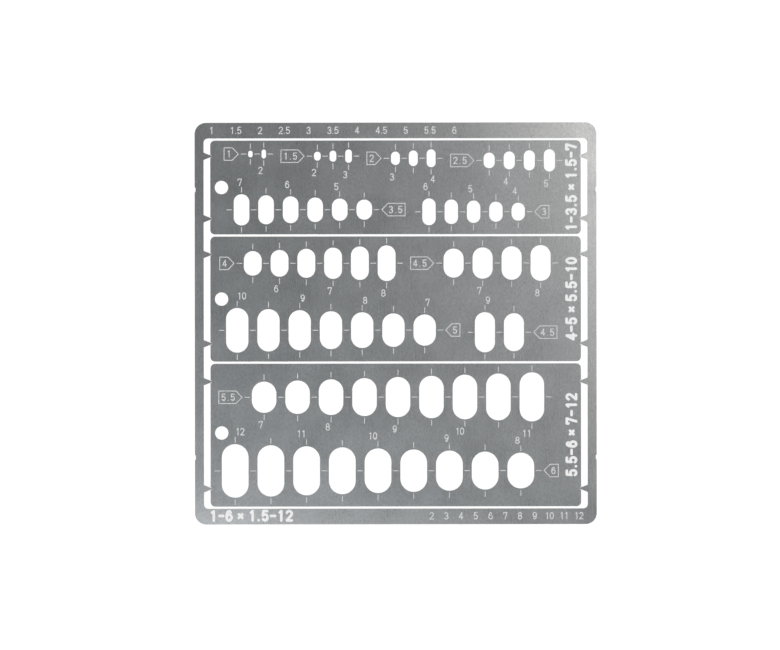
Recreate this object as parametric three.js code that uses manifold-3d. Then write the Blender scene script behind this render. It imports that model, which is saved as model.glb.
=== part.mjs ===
// Slot drawing template: one etched stainless sheet, in millimetres, +Z up.
// The origin is the centre of the sheet's underside and +Y points at the header strip.
// A square carrier frame holds three plates of graded slots. Four pointed gates, two on each side, reach
// from the frame into notches in each plate's edges. A plate is freed by cutting its gates at their tips.
import * as THREE from 'three';
import { mergeGeometries, mergeVertices } from 'three/addons/utils/BufferGeometryUtils.js';
import Module from 'manifold-3d';

// Sheet and carrier frame
const sheetThickness = 0.2;
const sheetCornerRadius = 2.5;
const headerWidth = 3.5;
const footerWidth = 3.5;
const railWidth = 2;
const windowCornerRadius = 1;

// Nicks in the sheet's outer side edges, where its own holding tabs were snapped off
const tabNickHeight = 30;
const tabNickMouth = 1.1;
const tabNickFloor = 0.9;
const tabNickDepth = 0.2;

// Clear spaces between the frame and the plates, and between one plate and the next
const sideGap = 1.5;
const plateGap = 0.5;
const plateCornerRadius = 1;

// Gates of the frame, and the notches in the plates that take their tips
const gateRootWidth = 1.65;
const gateTipWidth = 0.2;
const gateCutGap = 0.03;
const notchMouthWidth = 0.9;
const notchDepth = 0.35;

// Slots: the land between two of one family, the margin from a plate's top or bottom edge to its longest
// slot, and the margin from the end of the longest row to the plate's right edge
const land = 2;
const edgeMargin = 2;
const rowEndMargin = 5.75;
const lengthStep = 0.5;

// Centre ticks, etched half through the sheet around every slot
const tickWidth = 0.2;
const tickStandoff = 0.35;
const tickDepth = 0.1;

// Room between two families of slots: the size tag that stands there, and the clear sheet beyond it
const shortTagReach = 5.4;
const longTagReach = 7.4;
const tagClearance = 3.35;
const wideTagClearance = 3.85;

// Hanging hole
const hangHoleRadius = 1.5;
const hangHoleInset = 2.5;

// Arcs are drawn in chords: the most that one may stray from its circle, and the fewest in one arc
const arcChordError = 0.02;
const leastArcChords = 3;

// A row's start is the distance from the plate's left edge to its first slot. A family holds the slots of
// one width: their lengths run in steps from its first to its last, and `room` is the space before the next
// family. Gates stand at `gateOffset` above and below the plate's middle.
const plates = [
  {
    name: 'small_slot_plate',
    rowSpace: 5,
    gateOffset: 7,
    hangHoleRise: 0,
    upperRow: {
      start: 8.5,
      families: [
        { width: 1, from: 1.5, to: 2, room: longTagReach + tagClearance },
        { width: 1.5, from: 2, to: 3, room: shortTagReach + tagClearance },
        { width: 2, from: 3, to: 4, room: longTagReach + tagClearance },
        { width: 2.5, from: 3.5, to: 5 },
      ],
    },
    lowerRow: {
      start: 5.25,
      families: [
        { width: 3.5, from: 7, to: 4.5, room: longTagReach + wideTagClearance },
        { width: 3, from: 6, to: 4 },
      ],
    },
  },
  {
    name: 'medium_slot_plate',
    rowSpace: 6,
    gateOffset: 10,
    hangHoleRise: 0,
    upperRow: {
      start: 7.5,
      families: [
        { width: 4, from: 5.5, to: 8, room: longTagReach + tagClearance },
        { width: 4.5, from: 6.5, to: 8 },
      ],
    },
    lowerRow: {
      start: 3.5,
      families: [
        { width: 5, from: 10, to: 7, room: shortTagReach + tagClearance },
        { width: 4.5, from: 9, to: 8.5 },
      ],
    },
  },
  {
    name: 'large_slot_plate',
    rowSpace: 5,
    gateOffset: 12,
    hangHoleRise: 0.5,
    upperRow: {
      start: 9.25,
      families: [{ width: 5.5, from: 7, to: 11 }],
    },
    lowerRow: {
      start: 2.5,
      families: [{ width: 6, from: 12, to: 8 }],
    },
  },
];

const wasm = await Module();
wasm.setup();

// Lengths of a family's slots, in even steps as near to lengthStep as fit
function slotLengths({ from, to }) {
  const steps = Math.round(Math.abs(to - from) / lengthStep);
  return Array.from({ length: steps + 1 }, (_, i) => from + ((to - from) * i) / Math.max(steps, 1));
}

function longestSlot(families) {
  return Math.max(...families.flatMap((family) => [family.from, family.to]));
}

// From the plate's left edge to the right side of the row's last slot
function rowLength(row) {
  const familyReach = (f) => slotLengths(f).length * (f.width + land) - land + (f.room ?? 0);
  return row.families.reduce((sum, family) => sum + familyReach(family), row.start);
}

function plateHeight(plate) {
  const longest = longestSlot(plate.upperRow.families) + longestSlot(plate.lowerRow.families);
  return 2 * edgeMargin + longest + plate.rowSpace;
}

// The longest row sets the plates' width, and the plates set the window and the sheet.
const longestRow = Math.max(...plates.flatMap((p) => [rowLength(p.upperRow), rowLength(p.lowerRow)]));
const plateHalfWidth = (longestRow + rowEndMargin) / 2;
const windowHalfWidth = plateHalfWidth + sideGap;
const sheetHalfWidth = windowHalfWidth + railWidth;
const platesHeight = plates.reduce((sum, plate) => sum + plateHeight(plate), 0);
const windowHeight = platesHeight + plateGap * (plates.length + 1);
const sheetHeight = headerWidth + windowHeight + footerWidth;
const windowTop = sheetHeight / 2 - headerWidth;
const windowBottom = -sheetHeight / 2 + footerWidth;
const gateLength = sideGap + notchDepth - gateCutGap;
const tickLength = land - 2 * tickStandoff;

// Stacks the plates down from the top of the window and gives each its edges and its two gate heights.
function stackPlates() {
  let top = windowTop - plateGap;
  return plates.map((plate) => {
    const bottom = top - plateHeight(plate);
    const middle = (top + bottom) / 2;
    const gateHeights = [middle - plate.gateOffset, middle + plate.gateOffset];
    const placed = { ...plate, top, bottom, middle, gateHeights };
    top = bottom - plateGap;
    return placed;
  });
}

// Points of an arc, anticlockwise
function arc(centreX, centreY, radius, fromAngle, toAngle) {
  const chordAngle = 2 * Math.acos(Math.max(0, 1 - arcChordError / radius));
  const chords = Math.max(leastArcChords, Math.ceil((toAngle - fromAngle) / chordAngle));
  const points = [];
  for (let i = 0; i <= chords; i++) {
    const angle = fromAngle + ((toAngle - fromAngle) * i) / chords;
    points.push(new THREE.Vector2(centreX + radius * Math.cos(angle), centreY + radius * Math.sin(angle)));
  }
  return points;
}

// A slot with round ends, its long axis along Y
function slotOutline({ x, y, width, length }) {
  const radius = width / 2;
  const reach = length / 2 - radius;
  return [
    ...arc(x, y + reach, radius, 0, Math.PI),
    ...arc(x, y - reach, radius, Math.PI, 2 * Math.PI),
  ];
}

function roundHole(centreX, centreY, radius) {
  return arc(centreX, centreY, radius, 0, 2 * Math.PI).slice(0, -1);
}

// Four points of a tapered step in an upright edge, from `edgeX` to `endX` and back, going up
function taperedStep(edgeX, endX, y, edgeWidth, endWidth) {
  return [
    new THREE.Vector2(edgeX, y - edgeWidth / 2),
    new THREE.Vector2(endX, y - endWidth / 2),
    new THREE.Vector2(endX, y + endWidth / 2),
    new THREE.Vector2(edgeX, y + edgeWidth / 2),
  ];
}

// A rectangle with round corners, centred on X. `rightStep` gives the points of a step in its right edge
// at each of the heights, from the lowest up, and the left edge mirrors it.
function steppedRectangle(halfWidth, bottom, top, radius, heights, rightStep) {
  const rising = heights.flatMap(rightStep);
  const falling = rising.map((p) => new THREE.Vector2(-p.x, p.y)).reverse();
  const quarter = Math.PI / 2;
  const innerX = halfWidth - radius;
  return [
    ...arc(innerX, bottom + radius, radius, -quarter, 0),
    ...rising,
    ...arc(innerX, top - radius, radius, 0, quarter),
    ...arc(-innerX, top - radius, radius, quarter, 2 * quarter),
    ...falling,
    ...arc(-innerX, bottom + radius, radius, 2 * quarter, 3 * quarter),
  ];
}

// Slots of a row, left to right. Each knows its place in its family, which decides its ticks.
function rowSlots(row, familyAxis) {
  const slots = [];
  let left = -plateHalfWidth + row.start;
  for (const family of row.families) {
    slotLengths(family).forEach((length, i) => {
      const x = left + family.width / 2;
      slots.push({ x, y: familyAxis(family), width: family.width, length, opensFamily: i === 0 });
      left += family.width + land;
    });
    left += (family.room ?? 0) - land;
  }
  return slots;
}

// In the upper row the longest slot of each family ends at the margin below the plate's top edge, and in
// the lower row it ends at the margin above the bottom edge.
function plateSlots(plate) {
  const upperAxis = (family) => plate.top - edgeMargin - longestSlot([family]) / 2;
  const lowerAxis = (family) => plate.bottom + edgeMargin + longestSlot([family]) / 2;
  return [...rowSlots(plate.upperRow, upperAxis), ...rowSlots(plate.lowerRow, lowerAxis)];
}

// Cuts one flat outline with its holes out of the sheet
function cutFromSheet(outline, holes) {
  const shape = new THREE.Shape(outline);
  shape.holes = holes.map((points) => new THREE.Path(points));
  return new THREE.ExtrudeGeometry(shape, { depth: sheetThickness, bevelEnabled: false });
}

// The straight bar that etching takes out of the numbered face for one tick
function tickBar(centreX, centreY, sizeX, sizeY) {
  const bar = new THREE.BoxGeometry(sizeX, sizeY, 2 * tickDepth);
  return bar.translate(centreX, centreY, sheetThickness);
}

// A tick above and below a slot, one to its right, and one to its left if it opens its family
function slotTicks(slot) {
  const alongX = slot.width / 2 + tickStandoff + tickLength / 2;
  const alongY = slot.length / 2 + tickStandoff + tickLength / 2;
  const bars = [
    tickBar(slot.x, slot.y + alongY, tickWidth, tickLength),
    tickBar(slot.x, slot.y - alongY, tickWidth, tickLength),
    tickBar(slot.x + alongX, slot.y, tickLength, tickWidth),
  ];
  if (slot.opensFamily) bars.push(tickBar(slot.x - alongX, slot.y, tickLength, tickWidth));
  return bars;
}

function toSolid(geometry) {
  const bare = geometry.clone();
  bare.deleteAttribute('normal');
  bare.deleteAttribute('uv');
  const merged = mergeVertices(bare);
  const vertProperties = new Float32Array(merged.getAttribute('position').array);
  return new wasm.Manifold(new wasm.Mesh({ numProp: 3, vertProperties, triVerts: merged.getIndex().array }));
}

function fromSolid(solid) {
  const { vertProperties, triVerts } = solid.getMesh();
  const geometry = new THREE.BufferGeometry();
  geometry.setAttribute('position', new THREE.BufferAttribute(vertProperties, 3));
  geometry.setIndex(new THREE.BufferAttribute(triVerts, 1));
  const faceted = geometry.toNonIndexed();
  faceted.computeVertexNormals();
  return faceted;
}

function carrierFrame(placedPlates, steel) {
  const nick = (y) => taperedStep(
    sheetHalfWidth, sheetHalfWidth - tabNickDepth, y, tabNickMouth, tabNickFloor);
  const nickHeights = [-tabNickHeight, tabNickHeight];
  const outline = steppedRectangle(
    sheetHalfWidth, -sheetHeight / 2, sheetHeight / 2, sheetCornerRadius, nickHeights, nick);
  const gate = (y) => taperedStep(
    windowHalfWidth, windowHalfWidth - gateLength, y, gateRootWidth, gateTipWidth);
  const gateHeights = placedPlates.flatMap((plate) => plate.gateHeights).sort((a, b) => a - b);
  const opening = steppedRectangle(
    windowHalfWidth, windowBottom, windowTop, windowCornerRadius, gateHeights, gate);
  const mesh = new THREE.Mesh(cutFromSheet(outline, [opening]), steel);
  mesh.name = 'carrier_frame';
  return mesh;
}

function slotPlate(plate, steel) {
  const notch = (y) => taperedStep(
    plateHalfWidth, plateHalfWidth - notchDepth, y, notchMouthWidth, gateTipWidth);
  const outline = steppedRectangle(
    plateHalfWidth, plate.bottom, plate.top, plateCornerRadius, plate.gateHeights, notch);
  const slots = plateSlots(plate);
  const hangHole = roundHole(
    -plateHalfWidth + hangHoleInset, plate.middle + plate.hangHoleRise, hangHoleRadius);
  const blank = cutFromSheet(outline, [...slots.map(slotOutline), hangHole]);
  const ticks = mergeGeometries(slots.flatMap(slotTicks));
  const mesh = new THREE.Mesh(fromSolid(toSolid(blank).subtract(toSolid(ticks))), steel);
  mesh.name = plate.name;
  return mesh;
}

const rolledSteel = new THREE.MeshStandardMaterial({ color: 0xa9abac, roughness: 0.38, metalness: 1 });
const placedPlates = stackPlates();
const template = new THREE.Group();
template.add(carrierFrame(placedPlates, rolledSteel.clone()));
for (const plate of placedPlates) template.add(slotPlate(plate, rolledSteel.clone()));

export default template;
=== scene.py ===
# %% [markdown]
# # A slot drawing template in etched stainless steel
#
# The real object is one sheet of stainless steel, 0.2 mm thick. A photographic mask and acid cut it from
# both faces at once: every slot, the window of the frame and the gaps between the plates are etched right
# through, and every line and number is etched half through from the numbered face. So there are two kinds
# of surface to show: the rolled face as it came from the mill, and the bare metal that the acid left, which
# looks different in a narrow line, in a broad one and on the wall of an opening.
#
# This lesson builds the sheet step by step: the outlines, the engraved strokes, the wall that the acid
# leaves, and then the finishes and the light. All sizes are in millimetres until a mesh is made.

import bpy
import numpy as np
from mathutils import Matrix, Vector
from mathutils.geometry import delaunay_2d_cdt


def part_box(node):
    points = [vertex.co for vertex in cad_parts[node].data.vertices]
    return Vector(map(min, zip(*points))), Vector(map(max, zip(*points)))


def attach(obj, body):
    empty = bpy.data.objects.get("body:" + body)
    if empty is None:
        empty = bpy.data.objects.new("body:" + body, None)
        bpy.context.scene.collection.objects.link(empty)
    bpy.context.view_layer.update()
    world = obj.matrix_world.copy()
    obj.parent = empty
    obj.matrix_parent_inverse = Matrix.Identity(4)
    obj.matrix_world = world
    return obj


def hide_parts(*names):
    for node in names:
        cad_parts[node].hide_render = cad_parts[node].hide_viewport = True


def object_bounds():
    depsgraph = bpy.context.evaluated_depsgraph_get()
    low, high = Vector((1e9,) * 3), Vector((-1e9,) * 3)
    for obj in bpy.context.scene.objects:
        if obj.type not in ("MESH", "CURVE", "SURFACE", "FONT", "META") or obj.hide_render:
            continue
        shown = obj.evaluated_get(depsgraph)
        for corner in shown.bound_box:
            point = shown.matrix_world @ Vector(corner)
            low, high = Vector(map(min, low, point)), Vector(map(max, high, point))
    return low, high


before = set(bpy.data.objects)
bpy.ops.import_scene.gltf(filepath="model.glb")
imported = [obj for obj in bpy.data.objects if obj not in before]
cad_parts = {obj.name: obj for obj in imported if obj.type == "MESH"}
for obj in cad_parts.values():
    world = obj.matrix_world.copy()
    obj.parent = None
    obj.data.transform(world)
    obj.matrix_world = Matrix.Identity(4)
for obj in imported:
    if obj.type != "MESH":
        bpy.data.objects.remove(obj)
cad_low, cad_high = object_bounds()
METRES = 0.001
SHEET_THICKNESS = (cad_high.z - cad_low.z) / METRES
print(f"sheet {(cad_high.x - cad_low.x) / METRES:.2f} x {(cad_high.y - cad_low.y) / METRES:.2f} mm, "
      f"{SHEET_THICKNESS:.2f} mm thick")

# %% [markdown]
# ## Where everything lies
#
# A template is ruled by its numbers. Each row of slots starts at a fixed distance from the plate's left
# edge, each slot is as wide as its family's number, and two slots always leave 2 mm of metal between them.
# The plates' own edges come from the frame, so the same few rules place every slot as on the solid model.

# %% Rules of the layout
LAND = 2.0
EDGE_MARGIN = 2.0
LENGTH_STEP = 0.5
SHORT_TAG_REACH = 5.4
LONG_TAG_REACH = 7.4
TAG_CLEARANCE = 3.35
WIDE_TAG_CLEARANCE = 3.85

# Of a plate: `gate_offset` is how far above and below its middle the gates stand, and `hole_rise` how far
# above it the hanging hole. Of a row: `start` is from the plate's left edge to the first slot, `clearance`
# from a tag to the next family, `side` where the length numbers stand, left (-1) or right (1) of the ticks,
# and `gap` from a slot's end to the middle of its number. A family is (slot width, first length, last
# length). `labels` moves single numbers off their usual side: the key is (slot width, slot length).
PLATES = {
    "small_slot_plate": {
        "body": "small_plate", "gate_offset": 7.0, "hole_rise": 0.0,
        "upper": {"start": 8.5, "clearance": TAG_CLEARANCE, "side": -1, "gap": 2.67,
                  "families": [(1.0, 1.5, 2.0), (1.5, 2.0, 3.0), (2.0, 3.0, 4.0), (2.5, 3.5, 5.0)],
                  "labels": {(2.0, 4.0): 0.37}},
        "lower": {"start": 5.25, "clearance": WIDE_TAG_CLEARANCE, "side": -1, "gap": 2.66,
                  "families": [(3.5, 7.0, 4.5), (3.0, 6.0, 4.0)],
                  "labels": {(3.5, 7.0): -0.4}},
    },
    "medium_slot_plate": {
        "body": "medium_plate", "gate_offset": 10.0, "hole_rise": 0.0,
        "upper": {"start": 7.5, "clearance": TAG_CLEARANCE, "side": -1, "gap": 2.67,
                  "families": [(4.0, 5.5, 8.0), (4.5, 6.5, 8.0)], "labels": {}},
        "lower": {"start": 3.5, "clearance": TAG_CLEARANCE, "side": 1, "gap": 2.7,
                  "families": [(5.0, 10.0, 7.0), (4.5, 9.0, 8.5)], "labels": {}},
    },
    "large_slot_plate": {
        "body": "large_plate", "gate_offset": 12.0, "hole_rise": 0.5,
        "upper": {"start": 9.25, "clearance": TAG_CLEARANCE, "side": -1, "gap": 2.67,
                  "families": [(5.5, 7.0, 11.0)], "labels": {}},
        "lower": {"start": 2.5, "clearance": TAG_CLEARANCE, "side": -1, "gap": 2.79,
                  "families": [(6.0, 12.0, 8.0)], "labels": {(6.0, 12.0): 1.1, (6.0, 9.0): -0.64}},
    },
}

# %% Place the slots


def plate_edges(name):
    """Left, right, bottom and top edge of a CAD node, in millimetres."""
    low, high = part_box(name)
    return tuple(v / METRES for v in (low.x, high.x, low.y, high.y))


def slot_lengths(family):
    """The lengths of one family's slots, in steps of half a millimetre, longer or shorter to the right."""
    width, first, last = family
    steps = round(abs(last - first) / LENGTH_STEP)
    return np.linspace(first, last, steps + 1)


def tag_reach(width):
    """From a slot's edge to the far line of its size tag: a number with a decimal needs more room."""
    return SHORT_TAG_REACH if width == round(width) else LONG_TAG_REACH


def row_slots(plate, which):
    """Slots of a row from left to right, as dicts of x, y, width, length and the place in the family.

    Between two families stands one tag. In the upper row it belongs to the family on its right, in the
    lower row to the one on its left. The longest slot of a family ends 2 mm from the plate's edge.
    """
    left, right, bottom, top = plate_edges(plate)
    row = PLATES[plate][which]
    x, slots = left + row["start"], []
    for number, family in enumerate(row["families"]):
        width, longest = family[0], max(family[1:])
        y = top - EDGE_MARGIN - longest / 2 if which == "upper" else bottom + EDGE_MARGIN + longest / 2
        lengths = slot_lengths(family)
        for place, length in enumerate(lengths):
            slots.append({"x": x + width / 2, "y": y, "width": width, "length": float(length),
                          "first": place == 0, "last": place == len(lengths) - 1})
            x += width + LAND
        if number + 1 < len(row["families"]):
            tagged = row["families"][number + 1][0] if which == "upper" else width
            x += tag_reach(tagged) + row["clearance"] - LAND
    return slots


SLOTS = {plate: {which: row_slots(plate, which) for which in ("upper", "lower")} for plate in PLATES}
for plate, rows in SLOTS.items():
    print(plate, "has", len(rows["upper"]), "+", len(rows["lower"]), "slots; last one ends at x",
          round(rows["upper"][-1]["x"] + rows["upper"][-1]["width"] / 2, 2))

# %% [markdown]
# ## Outlines
#
# Every edge of the sheet is a closed loop of points: the outer edge, the window, the plates, the slots and
# the round hanging holes. One rule holds for all of them: the metal lies to the left as the loop is
# followed. So outer edges run anticlockwise and the edges of openings run clockwise, and the same code can
# then build the wall of either. Round stretches are arcs from one formula.

# %% Arcs and loops
ARC_STEP = np.radians(7.5)


def arc(centre, radii, start, end, step=ARC_STEP):
    """Points centre + (rx cos a, ry sin a) for angles a in even steps from start to end, both included."""
    count = max(2, int(np.ceil(abs(end - start) / step)) + 1)
    angles = np.linspace(start, end, count)
    return np.column_stack([centre[0] + radii[0] * np.cos(angles), centre[1] + radii[1] * np.sin(angles)])


def slot_loop(slot):
    """Two half circles joined by straight sides, clockwise."""
    radius = slot["width"] / 2
    reach = slot["length"] / 2 - radius
    lower = arc((slot["x"], slot["y"] - reach), (radius, radius), 0, -np.pi)
    upper = arc((slot["x"], slot["y"] + reach), (radius, radius), np.pi, 0)
    if reach == 0:
        return np.vstack([lower, upper[1:-1]])
    return np.vstack([lower, upper])


def hole_loop(centre, radius):
    """A full circle, clockwise."""
    return arc(centre, (radius, radius), 2 * np.pi, 0)[:-1]


def stepped_rectangle(edges, corner, heights, step_to, mouth, floor):
    """A rectangle with round corners, anticlockwise, with a tapered step in both sides at each height.

    A step goes from the side's x to `step_to`, from `mouth` wide to `floor` wide, and mirrors on the left.
    """
    left, right, bottom, top = edges
    middle, quarter = (left + right) / 2, np.pi / 2
    profile = np.array([[right, -mouth / 2], [step_to, -floor / 2],
                        [step_to, floor / 2], [right, mouth / 2]])
    rising = np.vstack([profile + (0, height) for height in sorted(heights)])
    falling = (rising * (-1, 1) + (2 * middle, 0))[::-1]
    radii = (corner, corner)
    return np.vstack([
        arc((right - corner, bottom + corner), radii, -quarter, 0),
        rising,
        arc((right - corner, top - corner), radii, 0, quarter),
        arc((left + corner, top - corner), radii, quarter, 2 * quarter),
        falling,
        arc((left + corner, bottom + corner), radii, 2 * quarter, 3 * quarter),
    ])


# %% Edges of the plates and of the frame
SHEET_CORNER = 2.5
WINDOW_CORNER = 1.0
PLATE_CORNER = 1.0
RAIL_WIDTH = 2.0
STRIP_WIDTH = 3.5
PLATE_SIDE_GAP = 1.5
GATE_ROOT, GATE_TIP, GATE_CUT = 1.65, 0.2, 0.03
NOTCH_MOUTH, NOTCH_DEPTH = 0.9, 0.35
NICK_HEIGHT, NICK_MOUTH, NICK_FLOOR, NICK_DEPTH = 30.0, 1.1, 0.9, 0.2


def plate_outline(plate):
    """The plate's edge, with a small notch at each of its four gates."""
    left, right, bottom, top = edges = plate_edges(plate)
    middle, offset = (bottom + top) / 2, PLATES[plate]["gate_offset"]
    heights = (middle - offset, middle + offset)
    return stepped_rectangle(edges, PLATE_CORNER, heights, right - NOTCH_DEPTH, NOTCH_MOUTH, GATE_TIP)


def frame_outlines():
    """The sheet's outer edge, with its four nicks, and the window's edge, with its twelve pointed gates."""
    left, right, bottom, top = edges = plate_edges("carrier_frame")
    outer = stepped_rectangle(
        edges, SHEET_CORNER, (-NICK_HEIGHT, NICK_HEIGHT), right - NICK_DEPTH, NICK_MOUTH, NICK_FLOOR)
    gates = []
    for plate, facts in PLATES.items():
        low, high = plate_edges(plate)[2:]
        gates += [(low + high) / 2 - facts["gate_offset"], (low + high) / 2 + facts["gate_offset"]]
    window_edges = (left + RAIL_WIDTH, right - RAIL_WIDTH, bottom + STRIP_WIDTH, top - STRIP_WIDTH)
    tip = right - RAIL_WIDTH - (PLATE_SIDE_GAP + NOTCH_DEPTH - GATE_CUT)
    window = stepped_rectangle(window_edges, WINDOW_CORNER, gates, tip, GATE_ROOT, GATE_TIP)
    return outer, window[::-1]


print("points in the frame's two edges:", [len(loop) for loop in frame_outlines()])

# %% [markdown]
# ## Engraved strokes
#
# Everything engraved is a stroke: the ticks, the size tags and the numbers. A stroke is stored as a pair,
# the path that its centre follows and its width. The numbers are drawn as a lettering template draws them,
# from straight lines and arcs, on a box of 1 by 1.6. A font would bring in curves with hundreds of points,
# and its strokes would have two edges but no centre, which the depth is worked out from.

# %% Numerals
FINE_ARC = np.radians(20)


def curve(centre, radii, start, end):
    """A path along an arc given in degrees."""
    return arc(centre, radii, np.radians(start), np.radians(end), FINE_ARC)


def ring(centre, radii):
    """A path round an ellipse that returns to its first point."""
    return arc(centre, radii, 0, 2 * np.pi, FINE_ARC)


def line(*points):
    """A straight path."""
    return np.array(points, float)


NUMERALS = {
    "0": [ring((0, 0.8), (0.42, 0.8))],
    "1": [line((0.08, 0), (0.08, 1.6)), line((0.08, 1.6), (-0.2, 1.34))],
    "2": [curve((0, 1.17), (0.42, 0.43), 165, -35), line((0.344, 0.923), (-0.42, 0)),
          line((-0.42, 0), (0.44, 0))],
    "3": [curve((-0.02, 1.2), (0.37, 0.4), 155, -90), curve((-0.02, 0.42), (0.43, 0.42), 90, -155)],
    "4": [line((0.18, 0), (0.18, 1.6)), line((0.18, 1.6), (-0.46, 0.45)),
          line((-0.46, 0.45), (0.46, 0.45))],
    "5": [line((0.36, 1.6), (-0.3, 1.6)), line((-0.3, 1.6), (-0.38, 0.82)),
          curve((-0.02, 0.5), (0.43, 0.5), 140, -150)],
    "6": [ring((0, 0.5), (0.42, 0.5)), curve((0, 0.5), (0.42, 1.1), 180, 50)],
    "7": [line((-0.42, 1.3), (-0.42, 1.6)), line((-0.42, 1.6), (0.42, 1.6)), line((0.42, 1.6), (-0.06, 0))],
    "8": [ring((0, 1.2), (0.36, 0.4)), ring((0, 0.41), (0.43, 0.41))],
    "9": [ring((0, 1.1), (0.42, 0.5)), curve((0, 1.1), (0.42, 1.1), 0, -130)],
    ".": [line((0, 0.02), (0, 0.06))],
    "-": [line((-0.34, 0.78), (0.34, 0.78))],
    "x": [line((-0.3, 0.45), (0.3, 1.05)), line((-0.3, 1.05), (0.3, 0.45))],
    " ": [],
}
print("numerals have", {mark: len(paths) for mark, paths in NUMERALS.items()}, "strokes")

# %% Numbers and ruled lines
BOX_HEIGHT = 1.6
ADVANCE = {".": 0.62, "-": 1.0, "x": 1.0, " ": 0.5}
NUMERAL_ADVANCE = 1.15
LINE_STROKE = 0.2
FINE = {"height": 1.44, "width": 0.23, "spacing": 1.0}
BROAD = {"height": 2.1, "width": 0.6, "spacing": 1.25}


def number_strokes(text, centre, style=FINE, turned=False):
    """Strokes of a number, centred on a point: each mark takes its own advance along the line.

    `turned` lays the number along +Y, as on the right margin of the plates: (x, y) becomes (-y, x).
    """
    scale = style["height"] / BOX_HEIGHT
    advances = [ADVANCE.get(mark, NUMERAL_ADVANCE) for mark in text]
    ends = np.cumsum([0] + advances) * scale * style["spacing"]
    middles = (ends[:-1] + ends[1:]) / 2 - ends[-1] / 2
    paths = [path * scale + (middle, -style["height"] / 2) for mark, middle in zip(text, middles)
             for path in NUMERALS[mark]]
    if turned:
        paths = [np.column_stack([-path[:, 1], path[:, 0]]) for path in paths]
    return [(path + np.array(centre), style["width"]) for path in paths]


def ruled(*points):
    """A ruled line, as a stroke."""
    return line(*points), LINE_STROKE


print("a fine 2 has", sum(len(path) for path, _ in number_strokes("2", (0, 0))), "points")

# %% [markdown]
# ## Ticks, tags and labels
#
# Around each slot stand four ticks that mark its centre lines. Each family has a tag, a little signpost
# that points at its first or last slot and holds the slot width. Whole lengths are numbered at the slot's
# end. In the upper rows the tags stand on the left and the lengths below the slots, and in the lower rows
# it is the other way round.

# %% Ticks and tags
TICK_STANDOFF = 0.35
TAG_HALF_HEIGHT = 1.4
TAG_TIP = 2.2
TAG_SHOULDER = 3.55
TAG_INSET = {-1: 1.08, 1: 1.1}
TAG_NUMERAL_PITCH = 2.06


def slot_ticks(slot):
    """Ticks above, below and to the right of a slot, and to its left if it is the first of its family."""
    x, y = slot["x"], slot["y"]
    half_width, half_length = slot["width"] / 2, slot["length"] / 2
    near = TICK_STANDOFF + LINE_STROKE / 2
    far = LAND - near
    ticks = [ruled((x, y + half_length + near), (x, y + half_length + far)),
             ruled((x, y - half_length - near), (x, y - half_length - far)),
             ruled((x + half_width + near, y), (x + half_width + far, y))]
    if slot["first"]:
        ticks.append(ruled((x - half_width - near, y), (x - half_width - far, y)))
    return ticks


def size_tag(slot, side):
    """A signpost beside a slot: a pentagon with its point at the slot, and the slot width in it.

    `side` is -1 for a tag on the left of the slot and 1 for one on its right. The outer numeral stands
    TAG_INSET from the tag's far line, and the two numerals of a width with a decimal stand further apart
    than elsewhere, with the point between them.
    """
    edge, y, width = slot["x"] + side * slot["width"] / 2, slot["y"], slot["width"]
    reach = tag_reach(width)
    tip, shoulder, far = (edge + side * r for r in (TAG_TIP, TAG_SHOULDER, reach))
    upper, lower = y + TAG_HALF_HEIGHT, y - TAG_HALF_HEIGHT
    corners = [(tip, y), (shoulder, upper), (far, upper), (far, lower), (shoulder, lower), (tip, y)]
    strokes = [ruled(a, b) for a, b in zip(corners[:-1], corners[1:])]
    outer = far - side * TAG_INSET[side]
    whole, tenth = f"{width:.1f}".split(".")
    if tenth == "0":
        return strokes + number_strokes(whole, (outer, y))
    inner = outer - side * TAG_NUMERAL_PITCH
    first, last = min(outer, inner), max(outer, inner)
    strokes += number_strokes(whole, (first, y)) + number_strokes(tenth, (last, y))
    return strokes + number_strokes(".", ((first + last) / 2, y))


# %% Length numbers, and all strokes of a plate
ONE_DIGIT_SHIFT = {-1: -0.75, 1: 0.67}
TWO_DIGIT_SHIFT = {-1: -1.17, 1: 1.03}


def length_label(slot, row, which):
    """The slot's length as a number beside the outer end of its tick, if the length is whole."""
    if slot["length"] != round(slot["length"]):
        return []
    text = f"{slot['length']:.0f}"
    usual = ONE_DIGIT_SHIFT if len(text) == 1 else TWO_DIGIT_SHIFT
    shift = row["labels"].get((slot["width"], slot["length"]), usual[row["side"]])
    out = 1 if which == "lower" else -1
    return number_strokes(text, (slot["x"] + shift, slot["y"] + out * (slot["length"] / 2 + row["gap"])))


def plate_strokes(plate):
    """Every stroke around a plate's slots."""
    strokes = []
    for which, slots in SLOTS[plate].items():
        row = PLATES[plate][which]
        for slot in slots:
            strokes += slot_ticks(slot) + length_label(slot, row, which)
            if which == "upper" and slot["first"]:
                strokes += size_tag(slot, -1)
            if which == "lower" and slot["last"]:
                strokes += size_tag(slot, 1)
    return strokes


print("strokes on the plates:", {plate: len(plate_strokes(plate)) for plate in PLATES})

# %% [markdown]
# ## Plain numbers on the margins
#
# The strips of the frame and the right margin of each plate hold plain numbers that a user can read at a
# glance. In broad strokes: the slot widths and the slot lengths of a plate, from the least to the greatest,
# and the same for the whole sheet on the footer. In fine strokes: every width on the header strip and every
# whole length on the footer.

# %% Margin numbers
MARGIN_INSET = 2.15
HEADER_START, HEADER_END, HEADER_RISE = -41.2, 13.2, 43.28
FOOTER_START, FOOTER_END, FOOTER_RISE = 8.0, 41.0, -43.12
BROAD_FOOTER_X, BROAD_FOOTER_RISE = -32.4, -43.05


def families(plates):
    """All families of the named plates."""
    rows = [PLATES[plate][which] for plate in plates for which in ("upper", "lower")]
    return [family for row in rows for family in row["families"]]


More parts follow.
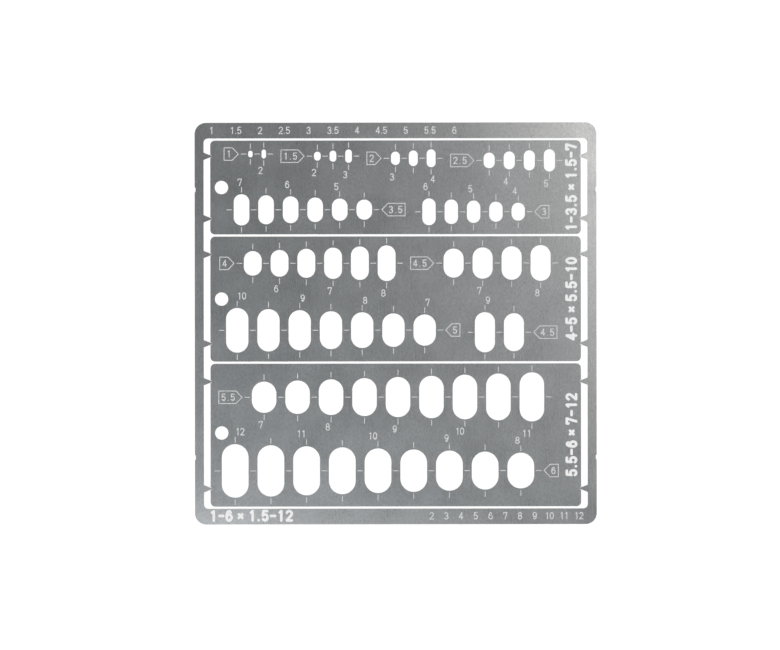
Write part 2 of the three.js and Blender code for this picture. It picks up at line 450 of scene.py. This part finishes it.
def size_legend(plates):
    """Least and greatest slot width, a cross, and least and greatest slot length."""
    widths = [family[0] for family in families(plates)]
    lengths = [length for family in families(plates) for length in family[1:]]
    return f"{min(widths):g}-{max(widths):g} x {min(lengths):g}-{max(lengths):g}"


def margin_legend(plate):
    """The plate's legend in broad strokes, reading upwards along its right edge."""
    left, right, bottom, top = plate_edges(plate)
    centre = (right - MARGIN_INSET, (bottom + top) / 2)
    return number_strokes(size_legend([plate]), centre, BROAD, turned=True)


def number_row(numbers, start, end, rise):
    """Numbers in fine strokes, their centres evenly spaced from start to end."""
    strokes = []
    for number, x in zip(numbers, np.linspace(start, end, len(numbers))):
        strokes += number_strokes(f"{number:g}", (x, rise))
    return strokes


def frame_strokes():
    """Every slot width on the header strip, and the sheet's legend and every whole length on the footer."""
    widths = sorted({family[0] for family in families(PLATES)})
    lengths = {length for family in families(PLATES) for length in slot_lengths(family)}
    whole_lengths = sorted(length for length in lengths if length == round(length))
    return (number_row(widths, HEADER_START, HEADER_END, HEADER_RISE)
            + number_row(whole_lengths, FOOTER_START, FOOTER_END, FOOTER_RISE)
            + number_strokes(size_legend(PLATES), (BROAD_FOOTER_X, BROAD_FOOTER_RISE), BROAD))


print("legends:", [size_legend([plate]) for plate in PLATES], size_legend(PLATES))

# %% [markdown]
# ## Which way a stroke goes down
#
# Acid that works through a narrow line eats a trough, deepest in the middle and steep at its sides, so the
# cross section is half of an ellipse. The whole numbered face can then be one height field. At a point that
# lies a share r of half the stroke's width from its centre, the metal is missing to the depth times
# sqrt(1 - r * r), and where strokes meet the nearest one counts.
#
# A regular grid would have to be very fine to follow strokes of 0.2 mm on a plate of 83 mm. Instead the
# face is cut into triangles along the level lines of the troughs: loops round each stroke at a few shares
# of half its width. Blender's constrained Delaunay triangulation joins them, however they cross.

# %% Loops round a stroke
LEVELS = (1.0, 0.9, 0.65, 0.35)
ROUND_END_STEP = np.radians(30)
END_MARGIN = 0.05


def is_closed(path):
    """Whether a path returns to its first point."""
    return len(path) > 2 and np.allclose(path[0], path[-1])


def left_sides(path):
    """Unit normals to the left at each point of a path, halfway between those of the steps that meet."""
    step = np.diff(path, axis=0)
    heading = step / np.linalg.norm(step, axis=1, keepdims=True)
    if is_closed(path):
        along = heading + np.roll(heading, 1, axis=0)
        along = np.vstack([along, along[:1]])
    else:
        along = np.vstack([heading[:1], heading[:-1] + heading[1:], heading[-1:]])
    along = along / np.linalg.norm(along, axis=1, keepdims=True)
    return np.column_stack([-along[:, 1], along[:, 0]])


def round_end(centre, radius, side):
    """Half a circle, anticlockwise from -side to +side, without its two end points.

    Its points stand at fixed angles, so that the ends of two strokes that meet in a corner share them. An
    angle closer than END_MARGIN, in radians, to either end is left out.
    """
    start = np.arctan2(-side[1], -side[0])
    steps = np.arange(np.floor(start / ROUND_END_STEP) + 1, np.ceil((start + np.pi) / ROUND_END_STEP))
    angles = steps * ROUND_END_STEP
    angles = angles[(angles > start + END_MARGIN) & (angles < start + np.pi - END_MARGIN)]
    return centre + radius * np.column_stack([np.cos(angles), np.sin(angles)])


def loops_round(path, radius):
    """The level lines at one distance from a path: one loop with round ends, or two round a closed path."""
    side = left_sides(path)
    if is_closed(path):
        return [(path - radius * side)[:-1], (path + radius * side)[:-1]]
    return [np.vstack([path - radius * side, round_end(path[-1], radius, side[-1]),
                       (path + radius * side)[::-1], round_end(path[0], radius, -side[0])])]


def trough_share(points, strokes):
    """For each point the least ratio of its distance from a stroke's centre to half the stroke's width.

    The distance to a step of the path from a to b is |p - a - t (b - a)|, where t is
    (p - a).(b - a) / |b - a|^2 held between 0 and 1.
    """
    share = np.full(len(points), np.inf)
    for path, width in strokes:
        low, high = path.min(axis=0) - width / 2, path.max(axis=0) + width / 2
        near = np.flatnonzero(((points >= low) & (points <= high)).all(axis=1))
        a, b = path[None, :-1], path[None, 1:]
        p = points[near][:, None]
        t = np.clip(((p - a) * (b - a)).sum(axis=2) / ((b - a) ** 2).sum(axis=2), 0, 1)
        distance = np.linalg.norm(p - a - t[:, :, None] * (b - a), axis=2).min(axis=1)
        share[near] = np.minimum(share[near], distance / (width / 2))
    return share


# %% [markdown]
# ## The wall that acid leaves
#
# Acid comes in from both faces and the two hollows meet in the middle. The wall is therefore not square: it
# is a little hollow above and below, with a thin ridge halfway, and its upper and lower edges are very
# slightly rounded. That profile is a short list of (distance into the metal, height), carried along every
# loop. The ridge stands at the true size.

# %% Edge profile and wall
WALL_PROFILE = [(0.018, 1.0), (0.012, 0.985), (0.009, 0.93), (0.008, 0.8), (0.005, 0.62), (0.0, 0.5),
                (0.005, 0.38), (0.008, 0.2), (0.009, 0.07), (0.012, 0.015), (0.018, 0.0)]
EDGE_INSET = WALL_PROFILE[0][0]
LEAST_MITRE = 0.5


def moved_left(loop, distance):
    """A loop moved into the metal: each point goes along the mean normal of its two sides, by a little more
    at a corner, so that both sides move by `distance`. LEAST_MITRE keeps a sharp corner from going far."""
    step = np.roll(loop, -1, axis=0) - loop
    heading = step / np.linalg.norm(step, axis=1, keepdims=True)
    before = np.roll(heading, 1, axis=0)
    normal = np.column_stack([-(heading + before)[:, 1], (heading + before)[:, 0]])
    normal /= np.linalg.norm(normal, axis=1, keepdims=True)
    side = np.column_stack([-heading[:, 1], heading[:, 0]])
    return loop + distance * normal / np.maximum((normal * side).sum(axis=1, keepdims=True), LEAST_MITRE)


def wall(loop):
    """Vertices and quads of the profile carried along a loop: row k, point i is the loop moved into the
    metal by the profile's distance k, at its height k. Quads look away from the metal."""
    rows = [np.column_stack([moved_left(loop, into), np.full(len(loop), share * SHEET_THICKNESS)])
            for into, share in WALL_PROFILE]
    count, levels = len(loop), len(WALL_PROFILE)
    upper = np.arange(count) + count * np.arange(levels - 1)[:, None]
    following = np.roll(upper, -1, axis=1)
    quads = np.stack([upper, upper + count, following + count, following], axis=2).reshape(-1, 4)
    return np.vstack(rows), quads


print("the wall has", len(WALL_PROFILE), "rows; its edges round off over", EDGE_INSET, "mm")

# %% [markdown]
# ## From loops to a closed mesh
#
# The numbered face and the back are flat regions with openings. Constrained Delaunay triangulation keeps
# every line that it is given and says in which regions each triangle lies, so triangles inside an opening
# can be dropped. Both faces end where the wall's profile begins, and points that fall together are merged.
# So the piece is one closed shell, as a solid for printing would have to be.

# %% Fill a face
WELD = 1e-5


def filled(loops, strokes=()):
    """Triangles of the flat region to the left of all loops, cut along the level lines of the strokes.

    The first loop bounds the region and the others are openings in it.
    """
    lines = [(loop, True) for loop in loops]
    for path, width in strokes:
        lines += [(loop, True) for level in LEVELS for loop in loops_round(path, level * width / 2)]
        lines.append((path, False))
    starts = np.cumsum([0] + [len(points) for points, _ in lines])
    edges = []
    for start, (points, closed) in zip(starts, lines):
        here = start + np.arange(len(points))
        edges.append(np.column_stack([here, np.roll(here, -1)])[: len(points) if closed else -1])
    regions = [(start + np.arange(len(loop))).tolist() for start, loop in zip(starts, loops)]
    regions[1:] = [region[::-1] for region in regions[1:]]
    points = np.vstack([points for points, _ in lines])
    made, _, triangles, _, _, inside = delaunay_2d_cdt(
        list(map(Vector, points.tolist())), np.vstack(edges).tolist(), regions, 1, WELD)
    keep = np.array([set(within) == {0} for within in inside])
    return np.array([tuple(v) for v in made]), np.array(triangles)[keep]


# %% Sharp edges
RIDGE = 0.5
SAME_LEVEL = 1e-4
SHARP_TURN = np.cos(np.radians(25))


def sharp_corners(loop):
    """Which points of a loop turn by more than 25 degrees."""
    step = np.roll(loop, -1, axis=0) - loop
    heading = step / np.linalg.norm(step, axis=1, keepdims=True)
    return (heading * np.roll(heading, 1, axis=0)).sum(axis=1) < SHARP_TURN


def mark_sharp(mesh, loops):
    """Marks the ridge of the walls and the upright edges at the loops' corners as sharp."""
    co = np.empty(len(mesh.vertices) * 3, np.float32)
    mesh.vertices.foreach_get("co", co)
    co = co.reshape(-1, 3) / METRES
    ends = np.empty(len(mesh.edges) * 2, np.int32)
    mesh.edges.foreach_get("vertices", ends)
    a, b = co[ends.reshape(-1, 2)].transpose(1, 0, 2)
    off_ridge = np.abs(np.stack([a[:, 2], b[:, 2]]) - RIDGE * SHEET_THICKNESS)
    sharp = (off_ridge < SAME_LEVEL).all(axis=0)
    corners = np.vstack([loop[sharp_corners(loop)] for loop in loops])
    near = 2 * EDGE_INSET
    upright = np.linalg.norm(a[:, :2] - b[:, :2], axis=1) < near
    candidates = np.flatnonzero(upright & (np.abs(a[:, 2] - b[:, 2]) > SAME_LEVEL))
    gap = np.linalg.norm(a[candidates, None, :2] - corners[None], axis=2).min(axis=1)
    sharp[candidates[gap < near]] = True
    mesh.attributes.new("sharp_edge", "BOOLEAN", "EDGE").data.foreach_set("value", sharp)


# %% Join the face, the back and the walls
GROOVE_DEPTH = 0.1
ROLLED, FINE_TROUGH, BROAD_TROUGH, WALL = range(4)


def sheet_mesh(name, outer, openings, strokes):
    """One flat piece as a closed mesh: the numbered face with its troughs, the walls and the plain back.

    The triangulation returns points in single precision, so the walls' points are rounded to it as well
    before equal points are merged.
    """
    loops = [outer, *openings]
    face_loops = [moved_left(loop, EDGE_INSET) for loop in loops]
    face, face_triangles = filled(face_loops, strokes)
    share = np.minimum(trough_share(face, strokes), 1)
    height = SHEET_THICKNESS - GROOVE_DEPTH * np.sqrt(1 - share ** 2)
    centres = face[face_triangles].mean(axis=1)
    broad = [(path, width) for path, width in strokes if width == BROAD["width"]]
    face_finish = np.where(trough_share(centres, strokes) < 1, FINE_TROUGH, ROLLED)
    face_finish[trough_share(centres, broad) < 1] = BROAD_TROUGH
    back, back_triangles = filled(face_loops)

    blocks = [np.column_stack([face, height]), np.column_stack([back, np.zeros(len(back))])]
    faces = [face_triangles, back_triangles[:, ::-1] + len(face)]
    quads = []
    for loop in loops:
        start = sum(len(block) for block in blocks)
        points, wall_quads = wall(loop)
        blocks.append(points)
        quads.append(wall_quads + start)
    vertices = np.vstack(blocks).astype(np.float32).astype(float)
    _, keep, same = np.unique(np.round(vertices / WELD).astype(np.int64), axis=0,
                              return_index=True, return_inverse=True)
    same = same.reshape(-1)
    triangles, quads = same[np.vstack(faces)], same[np.vstack(quads)]
    whole = (triangles != np.roll(triangles, 1, axis=1)).all(axis=1)

    mesh = bpy.data.meshes.new(name)
    mesh.from_pydata((vertices[keep] * METRES).tolist(), [], triangles[whole].tolist() + quads.tolist())
    flat_finish = np.concatenate([face_finish, np.full(len(back_triangles), ROLLED)])[whole]
    finish = np.concatenate([flat_finish, np.full(len(quads), WALL)])
    mesh.polygons.foreach_set("use_smooth", finish != ROLLED)
    mesh.polygons.foreach_set("material_index", finish)
    mark_sharp(mesh, loops)
    mesh.update()
    return mesh


# %% Make the four pieces
HANG_HOLE_RADIUS = 1.5
HANG_HOLE_INSET = 2.5


def add_piece(mesh, body, node):
    """Links a mesh as a piece that stands for a CAD node and rides on its body."""
    piece = bpy.data.objects.new(mesh.name, mesh)
    bpy.context.scene.collection.objects.link(piece)
    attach(piece, body)
    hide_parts(node)
    print(piece.name, "has", len(mesh.vertices), "vertices and", len(mesh.polygons), "faces")
    return piece


pieces = {}
outer, window = frame_outlines()
pieces["carrier_frame"] = add_piece(
    sheet_mesh("etched_carrier_frame", outer, [window], frame_strokes()), "carrier", "carrier_frame")
for plate, facts in PLATES.items():
    left, right, bottom, top = plate_edges(plate)
    hole = hole_loop((left + HANG_HOLE_INSET, (bottom + top) / 2 + facts["hole_rise"]), HANG_HOLE_RADIUS)
    openings = [slot_loop(slot) for slots in SLOTS[plate].values() for slot in slots] + [hole]
    strokes = plate_strokes(plate) + margin_legend(plate)
    pieces[plate] = add_piece(
        sheet_mesh("etched_" + plate, plate_outline(plate), openings, strokes), facts["body"], plate)

# %% [markdown]
# ## Finishes
#
# The rolled face is bare stainless steel from the mill: a slightly cool grey metal with a short grain along
# the way it was rolled, very faint lines and streaks, soft clouds and a few dark specks. The patterns are
# noises on Object coordinates, which are metres here, so a noise of scale 3800 has grains a quarter of a
# millimetre wide. They move the colour, the roughness and, through Bump nodes, the way the surface faces.

# %% Node helpers
USUAL_NOISE = (0.3, 0.7)


class Finish:
    """A node material under construction: its Principled shader, and short ways to add and join nodes."""

    def __init__(self, name, color, metallic, roughness):
        self.material = bpy.data.materials.new(name)
        self.material.use_nodes = True
        self.tree = self.material.node_tree
        self.shader = self.tree.nodes["Principled BSDF"]
        self.shader.inputs["Base Color"].default_value = (*color, 1)
        self.shader.inputs["Metallic"].default_value = metallic
        self.shader.inputs["Roughness"].default_value = roughness
        self.place = self.tree.nodes.new("ShaderNodeTexCoord").outputs["Object"]

    def node(self, kind, inputs=(), **settings):
        """Adds a node. `inputs` holds pairs of a socket's name or number and a value or another socket."""
        node = self.tree.nodes.new(kind)
        for key, value in settings.items():
            setattr(node, key, value)
        for key, value in inputs:
            if isinstance(value, bpy.types.NodeSocket):
                self.tree.links.new(value, node.inputs[key])
            else:
                node.inputs[key].default_value = value
        return node

    def noise(self, scale, detail=2.0, stretch=(1, 1, 1), offset=(0, 0, 0)):
        """A noise from 0 to 1 with `scale` cells a metre, stretched along an axis and moved by `offset`."""
        moved = self.node("ShaderNodeMapping", [("Vector", self.place), ("Location", offset),
                                                ("Scale", stretch)])
        noise = self.node("ShaderNodeTexNoise", [("Vector", moved.outputs[0]), ("Scale", scale),
                                                 ("Detail", detail)])
        return noise.outputs["Fac"]

    def math(self, operation, *values):
        """A Math node on numbers or sockets."""
        return self.node("ShaderNodeMath", list(enumerate(values)), operation=operation).outputs[0]

    def spread(self, noise, low, high):
        """Stretches a noise's usual range to the range from low to high, and holds it there."""
        return self.ranged(noise, USUAL_NOISE, (low, high))

    def ranged(self, value, old, new):
        """Carries the range `old` to the range `new`, and what lies beyond it to the nearer end."""
        inputs = [("Value", value), ("From Min", old[0]), ("From Max", old[1]),
                  ("To Min", new[0]), ("To Max", new[1])]
        return self.node("ShaderNodeMapRange", inputs).outputs[0]

    def tint(self, color, factor):
        """A colour times a factor that changes over the surface, into Base Color."""
        scaled = self.node("ShaderNodeVectorMath", [(0, color), ("Scale", factor)], operation="SCALE")
        self.tree.links.new(scaled.outputs[0], self.shader.inputs["Base Color"])

    def bump(self, height, distance, below=None):
        """A Bump node: `height` from 0 to 1 stands for `distance` metres, on top of another bump."""
        inputs = [("Height", height), ("Distance", distance), ("Strength", 1.0)]
        if below is not None:
            inputs.append(("Normal", below))
        return self.node("ShaderNodeBump", inputs).outputs[0]

    def finish(self, roughness=None, normal=None):
        """Joins a roughness and a normal to the shader, where they are given, and returns the material."""
        for name, socket in (("Roughness", roughness), ("Normal", normal)):
            if socket is not None:
                self.tree.links.new(socket, self.shader.inputs[name])
        return self.material


# %% The frame's bend, as a bump in its shading
HALF_SHEET = (cad_high.x - cad_low.x) / 2
# Bump height: how far the frame seems to fall off with each power of x and y; the key (i, j) is x^i y^j.
BEND = {(1, 0): 0.0022, (0, 1): -0.0026, (2, 0): -0.0103, (1, 1): 0.0136, (0, 2): -0.0193,
        (3, 0): -0.0023, (2, 1): 0.0022, (1, 2): -0.0023, (0, 3): -0.0011,
        (4, 0): 0.0096, (3, 1): 0.0034, (2, 2): 0.0058, (1, 3): -0.0053, (0, 4): 0.0116}


def bent_height(steel):
    """Height of a sheet that doesn't lie quite flat. With x and y as shares of half the sheet it is, in
    half sheets, minus the sum of amount * x^i * y^j over the bend's terms."""
    axes = steel.node("ShaderNodeSeparateXYZ", [(0, steel.place)]).outputs
    x, y = (steel.math("DIVIDE", axes[name], HALF_SHEET) for name in "XY")
    height = 0.0
    for (i, j), amount in BEND.items():
        term = steel.math("MULTIPLY", steel.math("POWER", x, i), steel.math("POWER", y, j))
        height = steel.math("MULTIPLY_ADD", term, -amount * HALF_SHEET, height)
    return height


# %% Rolled steel
# Cells a metre, octaves of detail and stretch of each pattern. A stretch under 1 makes the cells longer.
PATTERNS = {
    "clouds": {"scale": 110, "detail": 3.0},
    "streaks": {"scale": 700, "detail": 2.0, "stretch": (1, 0.03, 1)},
    "lines": {"scale": 9000, "detail": 2.0, "stretch": (1, 0.02, 1)},
    "grain": {"scale": 3800, "detail": 2.0, "stretch": (1, 0.45, 1)},
    "patches": {"scale": 170, "detail": 2.0},
    "specks": {"scale": 2800, "detail": 0.0},
    "waves": {"scale": 45, "detail": 1.0},
}
SEED_SLANT = 0.37

# Factors on the colour. The grain's contrast changes from patch to patch, and a speck is where its noise
# peaks.
TONE = {"clouds": (0.97, 1.03), "streaks": (0.996, 1.004), "lines": (0.993, 1.007)}
GRAIN_CONTRAST = (0.4, 0.75)
SPECK_PEAK, SPECK_TONE = (0.81, 0.83), (1.0, 0.75)

# Heights in metres, each on top of the one before, and shares of the roughness.
RELIEF = {"waves": 0.00006, "lines": 0.0000002, "grain": 0.000001}
CLOUD_ROUGHNESS, LINE_ROUGHNESS = (0.275, 0.315), (-0.02, 0.02)


def rolled_steel(name, seed, color, bent):
    """Bare rolled stainless steel. `seed` moves the patterns, so that two pieces don't share one. `bent`
    lets the light play on the surface as on a sheet that doesn't lie quite flat."""
    steel = Finish(name, color, metallic=1.0, roughness=sum(CLOUD_ROUGHNESS) / 2)
    offset = (seed, SEED_SLANT * seed, 0)
    noises = {pattern: steel.noise(offset=offset, **facts) for pattern, facts in PATTERNS.items()}
    contrast = steel.spread(noises["patches"], *GRAIN_CONTRAST)
    tone = steel.math("MULTIPLY_ADD", steel.math("SUBTRACT", noises["grain"], 0.5), contrast, 1.0)
    for pattern, limits in TONE.items():
        tone = steel.math("MULTIPLY", tone, steel.spread(noises[pattern], *limits))
    tone = steel.math("MULTIPLY", tone, steel.ranged(noises["specks"], SPECK_PEAK, SPECK_TONE))
    steel.tint(color, tone)
    normal = steel.bump(bent_height(steel), 1.0) if bent else None
    for pattern, depth in RELIEF.items():
        normal = steel.bump(noises[pattern], depth, below=normal)
    roughness = steel.math("ADD", steel.spread(noises["clouds"], *CLOUD_ROUGHNESS),
                           steel.spread(noises["lines"], *LINE_ROUGHNESS))
    return steel.finish(roughness, normal)


print("the rolled face has", len(PATTERNS), "patterns, the frame's bend", len(BEND), "terms")

# %% [markdown]
# The etched metal is the same steel with its skin eaten away, so it is paler and rougher. A fine trough is
# nearly all slope and keeps some shine. A broad one has a frosted floor that scatters light to every side.
# The walls get a darker colour, as painted shade for the shadow that lies in the openings' walls.

# %% Etched steel
PITS_PER_METRE, PIT_TONE, PIT_DEPTH = 16000, (0.94, 1.04), 0.000004


def etched_steel(name, color, metallic, roughness):
    """Bare metal that the acid left, with fine pits in its colour and its relief."""
    steel = Finish(name, color, metallic, roughness)
    pits = steel.noise(PITS_PER_METRE)
    steel.tint(color, steel.spread(pits, *PIT_TONE))
    return steel.finish(normal=steel.bump(pits, PIT_DEPTH))


etched_finishes = (
    etched_steel("fine_etched_steel", color=(0.8, 0.805, 0.81), metallic=0.85, roughness=0.6),
    etched_steel("broad_etched_steel", color=(0.93, 0.935, 0.94), metallic=0.0, roughness=0.8),
    # Painted shade: the walls are coloured darker than the etched metal, for the shadow in the openings.
    Finish("wall_steel_painted_shade", color=(0.4, 0.41, 0.42), metallic=0.8, roughness=0.6).material,
)

# %% Give the pieces their finishes
PLATE_STEEL = (0.426, 0.45, 0.467)
FRAME_STEEL = (0.431, 0.45, 0.463)
FIRST_SEED = 0.5
for number, (node, piece) in enumerate(pieces.items()):
    is_frame = node == "carrier_frame"
    color = FRAME_STEEL if is_frame else PLATE_STEEL
    piece.data.materials.append(rolled_steel("rolled_" + node, FIRST_SEED + number, color, bent=is_frame))
    for material in etched_finishes:
        piece.data.materials.append(material)
    print(piece.name, "wears", [material.name for material in piece.data.materials])

# %% [markdown]
# ## Light and camera
#
# A flat sheet of metal shows whatever hangs above it, mirrored towards the camera. Straight above the sheet
# the studio is dark, in a ring around that it is bright, and lower down it is dimmer again. So the steel
# reads as a mid grey from above and from the side, while a colour on the table still renders about as it is
# written. Two small soft boxes near the camera put the gradient on the steel.
#
# The table and the space beyond it are white through Light Path, with no more light on the steel. The space
# beyond is white to the camera alone, because the steel has to mirror the sky's dark and bright parts.

# %% Table
TABLE_WHITE = (0.94, 0.94, 0.94)
TABLE_RISE = 0.01


def white_to_the_eye(name, lift):
    """A matte white that keeps shadows, plus a little light of its own that only the camera, mirrors and
    glass see, so that the table reads as white without more light on the steel."""
    finish = Finish(name, TABLE_WHITE, metallic=0.0, roughness=0.9)
    path = finish.node("ShaderNodeLightPath")
    seen = finish.math("MAXIMUM", path.outputs["Is Camera Ray"], path.outputs["Is Glossy Ray"])
    seen = finish.math("MAXIMUM", seen, path.outputs["Is Transmission Ray"])
    finish.shader.inputs["Emission Color"].default_value = (1, 1, 1, 1)
    finish.tree.links.new(finish.math("MULTIPLY", seen, lift), finish.shader.inputs["Emission Strength"])
    return finish.material


def white_table(half_size):
    """A flat square that the sheet lies on, reaching `half_size` metres to each side.

    It stands a hundredth of a millimetre above the sheet's underside, because two faces in one plane
    flicker through each other, and this way the underside shows cleanly from below.
    """
    corners = [(x * half_size, y * half_size, TABLE_RISE * METRES)
               for x, y in ((-1, -1), (1, -1), (1, 1), (-1, 1))]
    mesh = bpy.data.meshes.new("table")
    mesh.from_pydata(corners, [], [(0, 1, 2, 3)])
    table = bpy.data.objects.new("table", mesh)
    bpy.context.scene.collection.objects.link(table)
    mesh.materials.append(white_to_the_eye("white_table", lift=0.3))


white_table(half_size=8)

# %% Sky
# Degrees from straight up: where the dark part ends, the bright ring begins and ends, and the dimmer part
# near the horizon begins.
DARK_ANGLE, RING_INNER, RING_OUTER, HORIZON_ANGLE = 24, 42, 56, 70


def studio_world(overhead, ring, horizon):
    """A sky that is dark overhead, bright in a ring around that and dimmer near the horizon. The camera
    sees nothing darker than white, so that the space beyond the table stays white too.

    A direction's z is the cosine of its angle from straight up.
    """
    world = bpy.data.worlds.new("studio")
    bpy.context.scene.world = world
    world.use_nodes = True
    tree = world.node_tree
    place = tree.nodes.new("ShaderNodeTexCoord").outputs["Generated"]
    split = tree.nodes.new("ShaderNodeSeparateXYZ")
    tree.links.new(place, split.inputs[0])

    def between(outer_angle, inner_angle, outer, inner):
        """A smooth step from the strength `outer` at the outer angle to `inner` at the inner one."""
        step = tree.nodes.new("ShaderNodeMapRange")
        step.interpolation_type = "SMOOTHSTEP"
        step.inputs["From Min"].default_value = float(np.cos(np.radians(outer_angle)))
        step.inputs["From Max"].default_value = float(np.cos(np.radians(inner_angle)))
        step.inputs["To Min"].default_value = outer
        step.inputs["To Max"].default_value = inner
        tree.links.new(split.outputs["Z"], step.inputs["Value"])
        return step.outputs[0]

    def joined(operation, a, b):
        """A Math node on two sockets."""
        node = tree.nodes.new("ShaderNodeMath")
        node.operation = operation
        tree.links.new(a, node.inputs[0])
        tree.links.new(b, node.inputs[1])
        return node.outputs[0]

    sky = joined("MINIMUM", between(RING_INNER, DARK_ANGLE, ring, overhead),
                 between(HORIZON_ANGLE, RING_OUTER, horizon, ring))
    seen = tree.nodes.new("ShaderNodeLightPath").outputs["Is Camera Ray"]
    background = tree.nodes["Background"]
    background.inputs["Color"].default_value = (1, 1, 1, 1)
    tree.links.new(joined("MAXIMUM", sky, seen), background.inputs["Strength"])


studio_world(overhead=0.225, ring=1.22, horizon=0.65)

# %% Soft boxes


def soft_box(name, tilt_x, tilt_y, distance, size, radiance, color):
    """A square area lamp that faces the sheet, tilted from straight up by two angles in degrees.

    Its size and distance are in metres. An area lamp of power P and area A has radiance P / (pi A).
    """
    lamp = bpy.data.lights.new(name, "AREA")
    lamp.color = color
    lamp.size = size
    lamp.energy = radiance * np.pi * size ** 2
    box = bpy.data.objects.new(name, lamp)
    aim = Vector((np.tan(np.radians(tilt_x)), np.tan(np.radians(tilt_y)), 1)).normalized()
    box.location = aim * distance
    box.rotation_euler = aim.to_track_quat("Z", "Y").to_euler()
    bpy.context.scene.collection.objects.link(box)


soft_box("upper_right_box", tilt_x=15.2, tilt_y=7.1, distance=1.1, size=0.23, radiance=3.2,
         color=(1.06, 1.0, 0.945))
soft_box("lower_left_box", tilt_x=-8.6, tilt_y=-20.4, distance=1.1, size=0.23, radiance=5.84,
         color=(1.0, 1.0, 1.0))

# %% Camera
CAMERA_X, CAMERA_Y, CAMERA_HEIGHT = -1.27, -0.35, 485.4
CAMERA_TURN = -0.08
LENS, SENSOR_WIDTH = 100, 36
camera_data = bpy.data.cameras.new("camera")
camera_data.lens = LENS
camera_data.sensor_width = SENSOR_WIDTH
camera = bpy.data.objects.new("camera", camera_data)
camera.location = (CAMERA_X * METRES, CAMERA_Y * METRES, (CAMERA_HEIGHT + SHEET_THICKNESS) * METRES)
camera.rotation_euler.z = np.radians(CAMERA_TURN)
bpy.context.scene.collection.objects.link(camera)
bpy.context.scene.camera = camera
bpy.context.scene.view_settings.view_transform = "Standard"
print("camera", CAMERA_HEIGHT, "mm above the numbered face, lens", LENS, "mm")
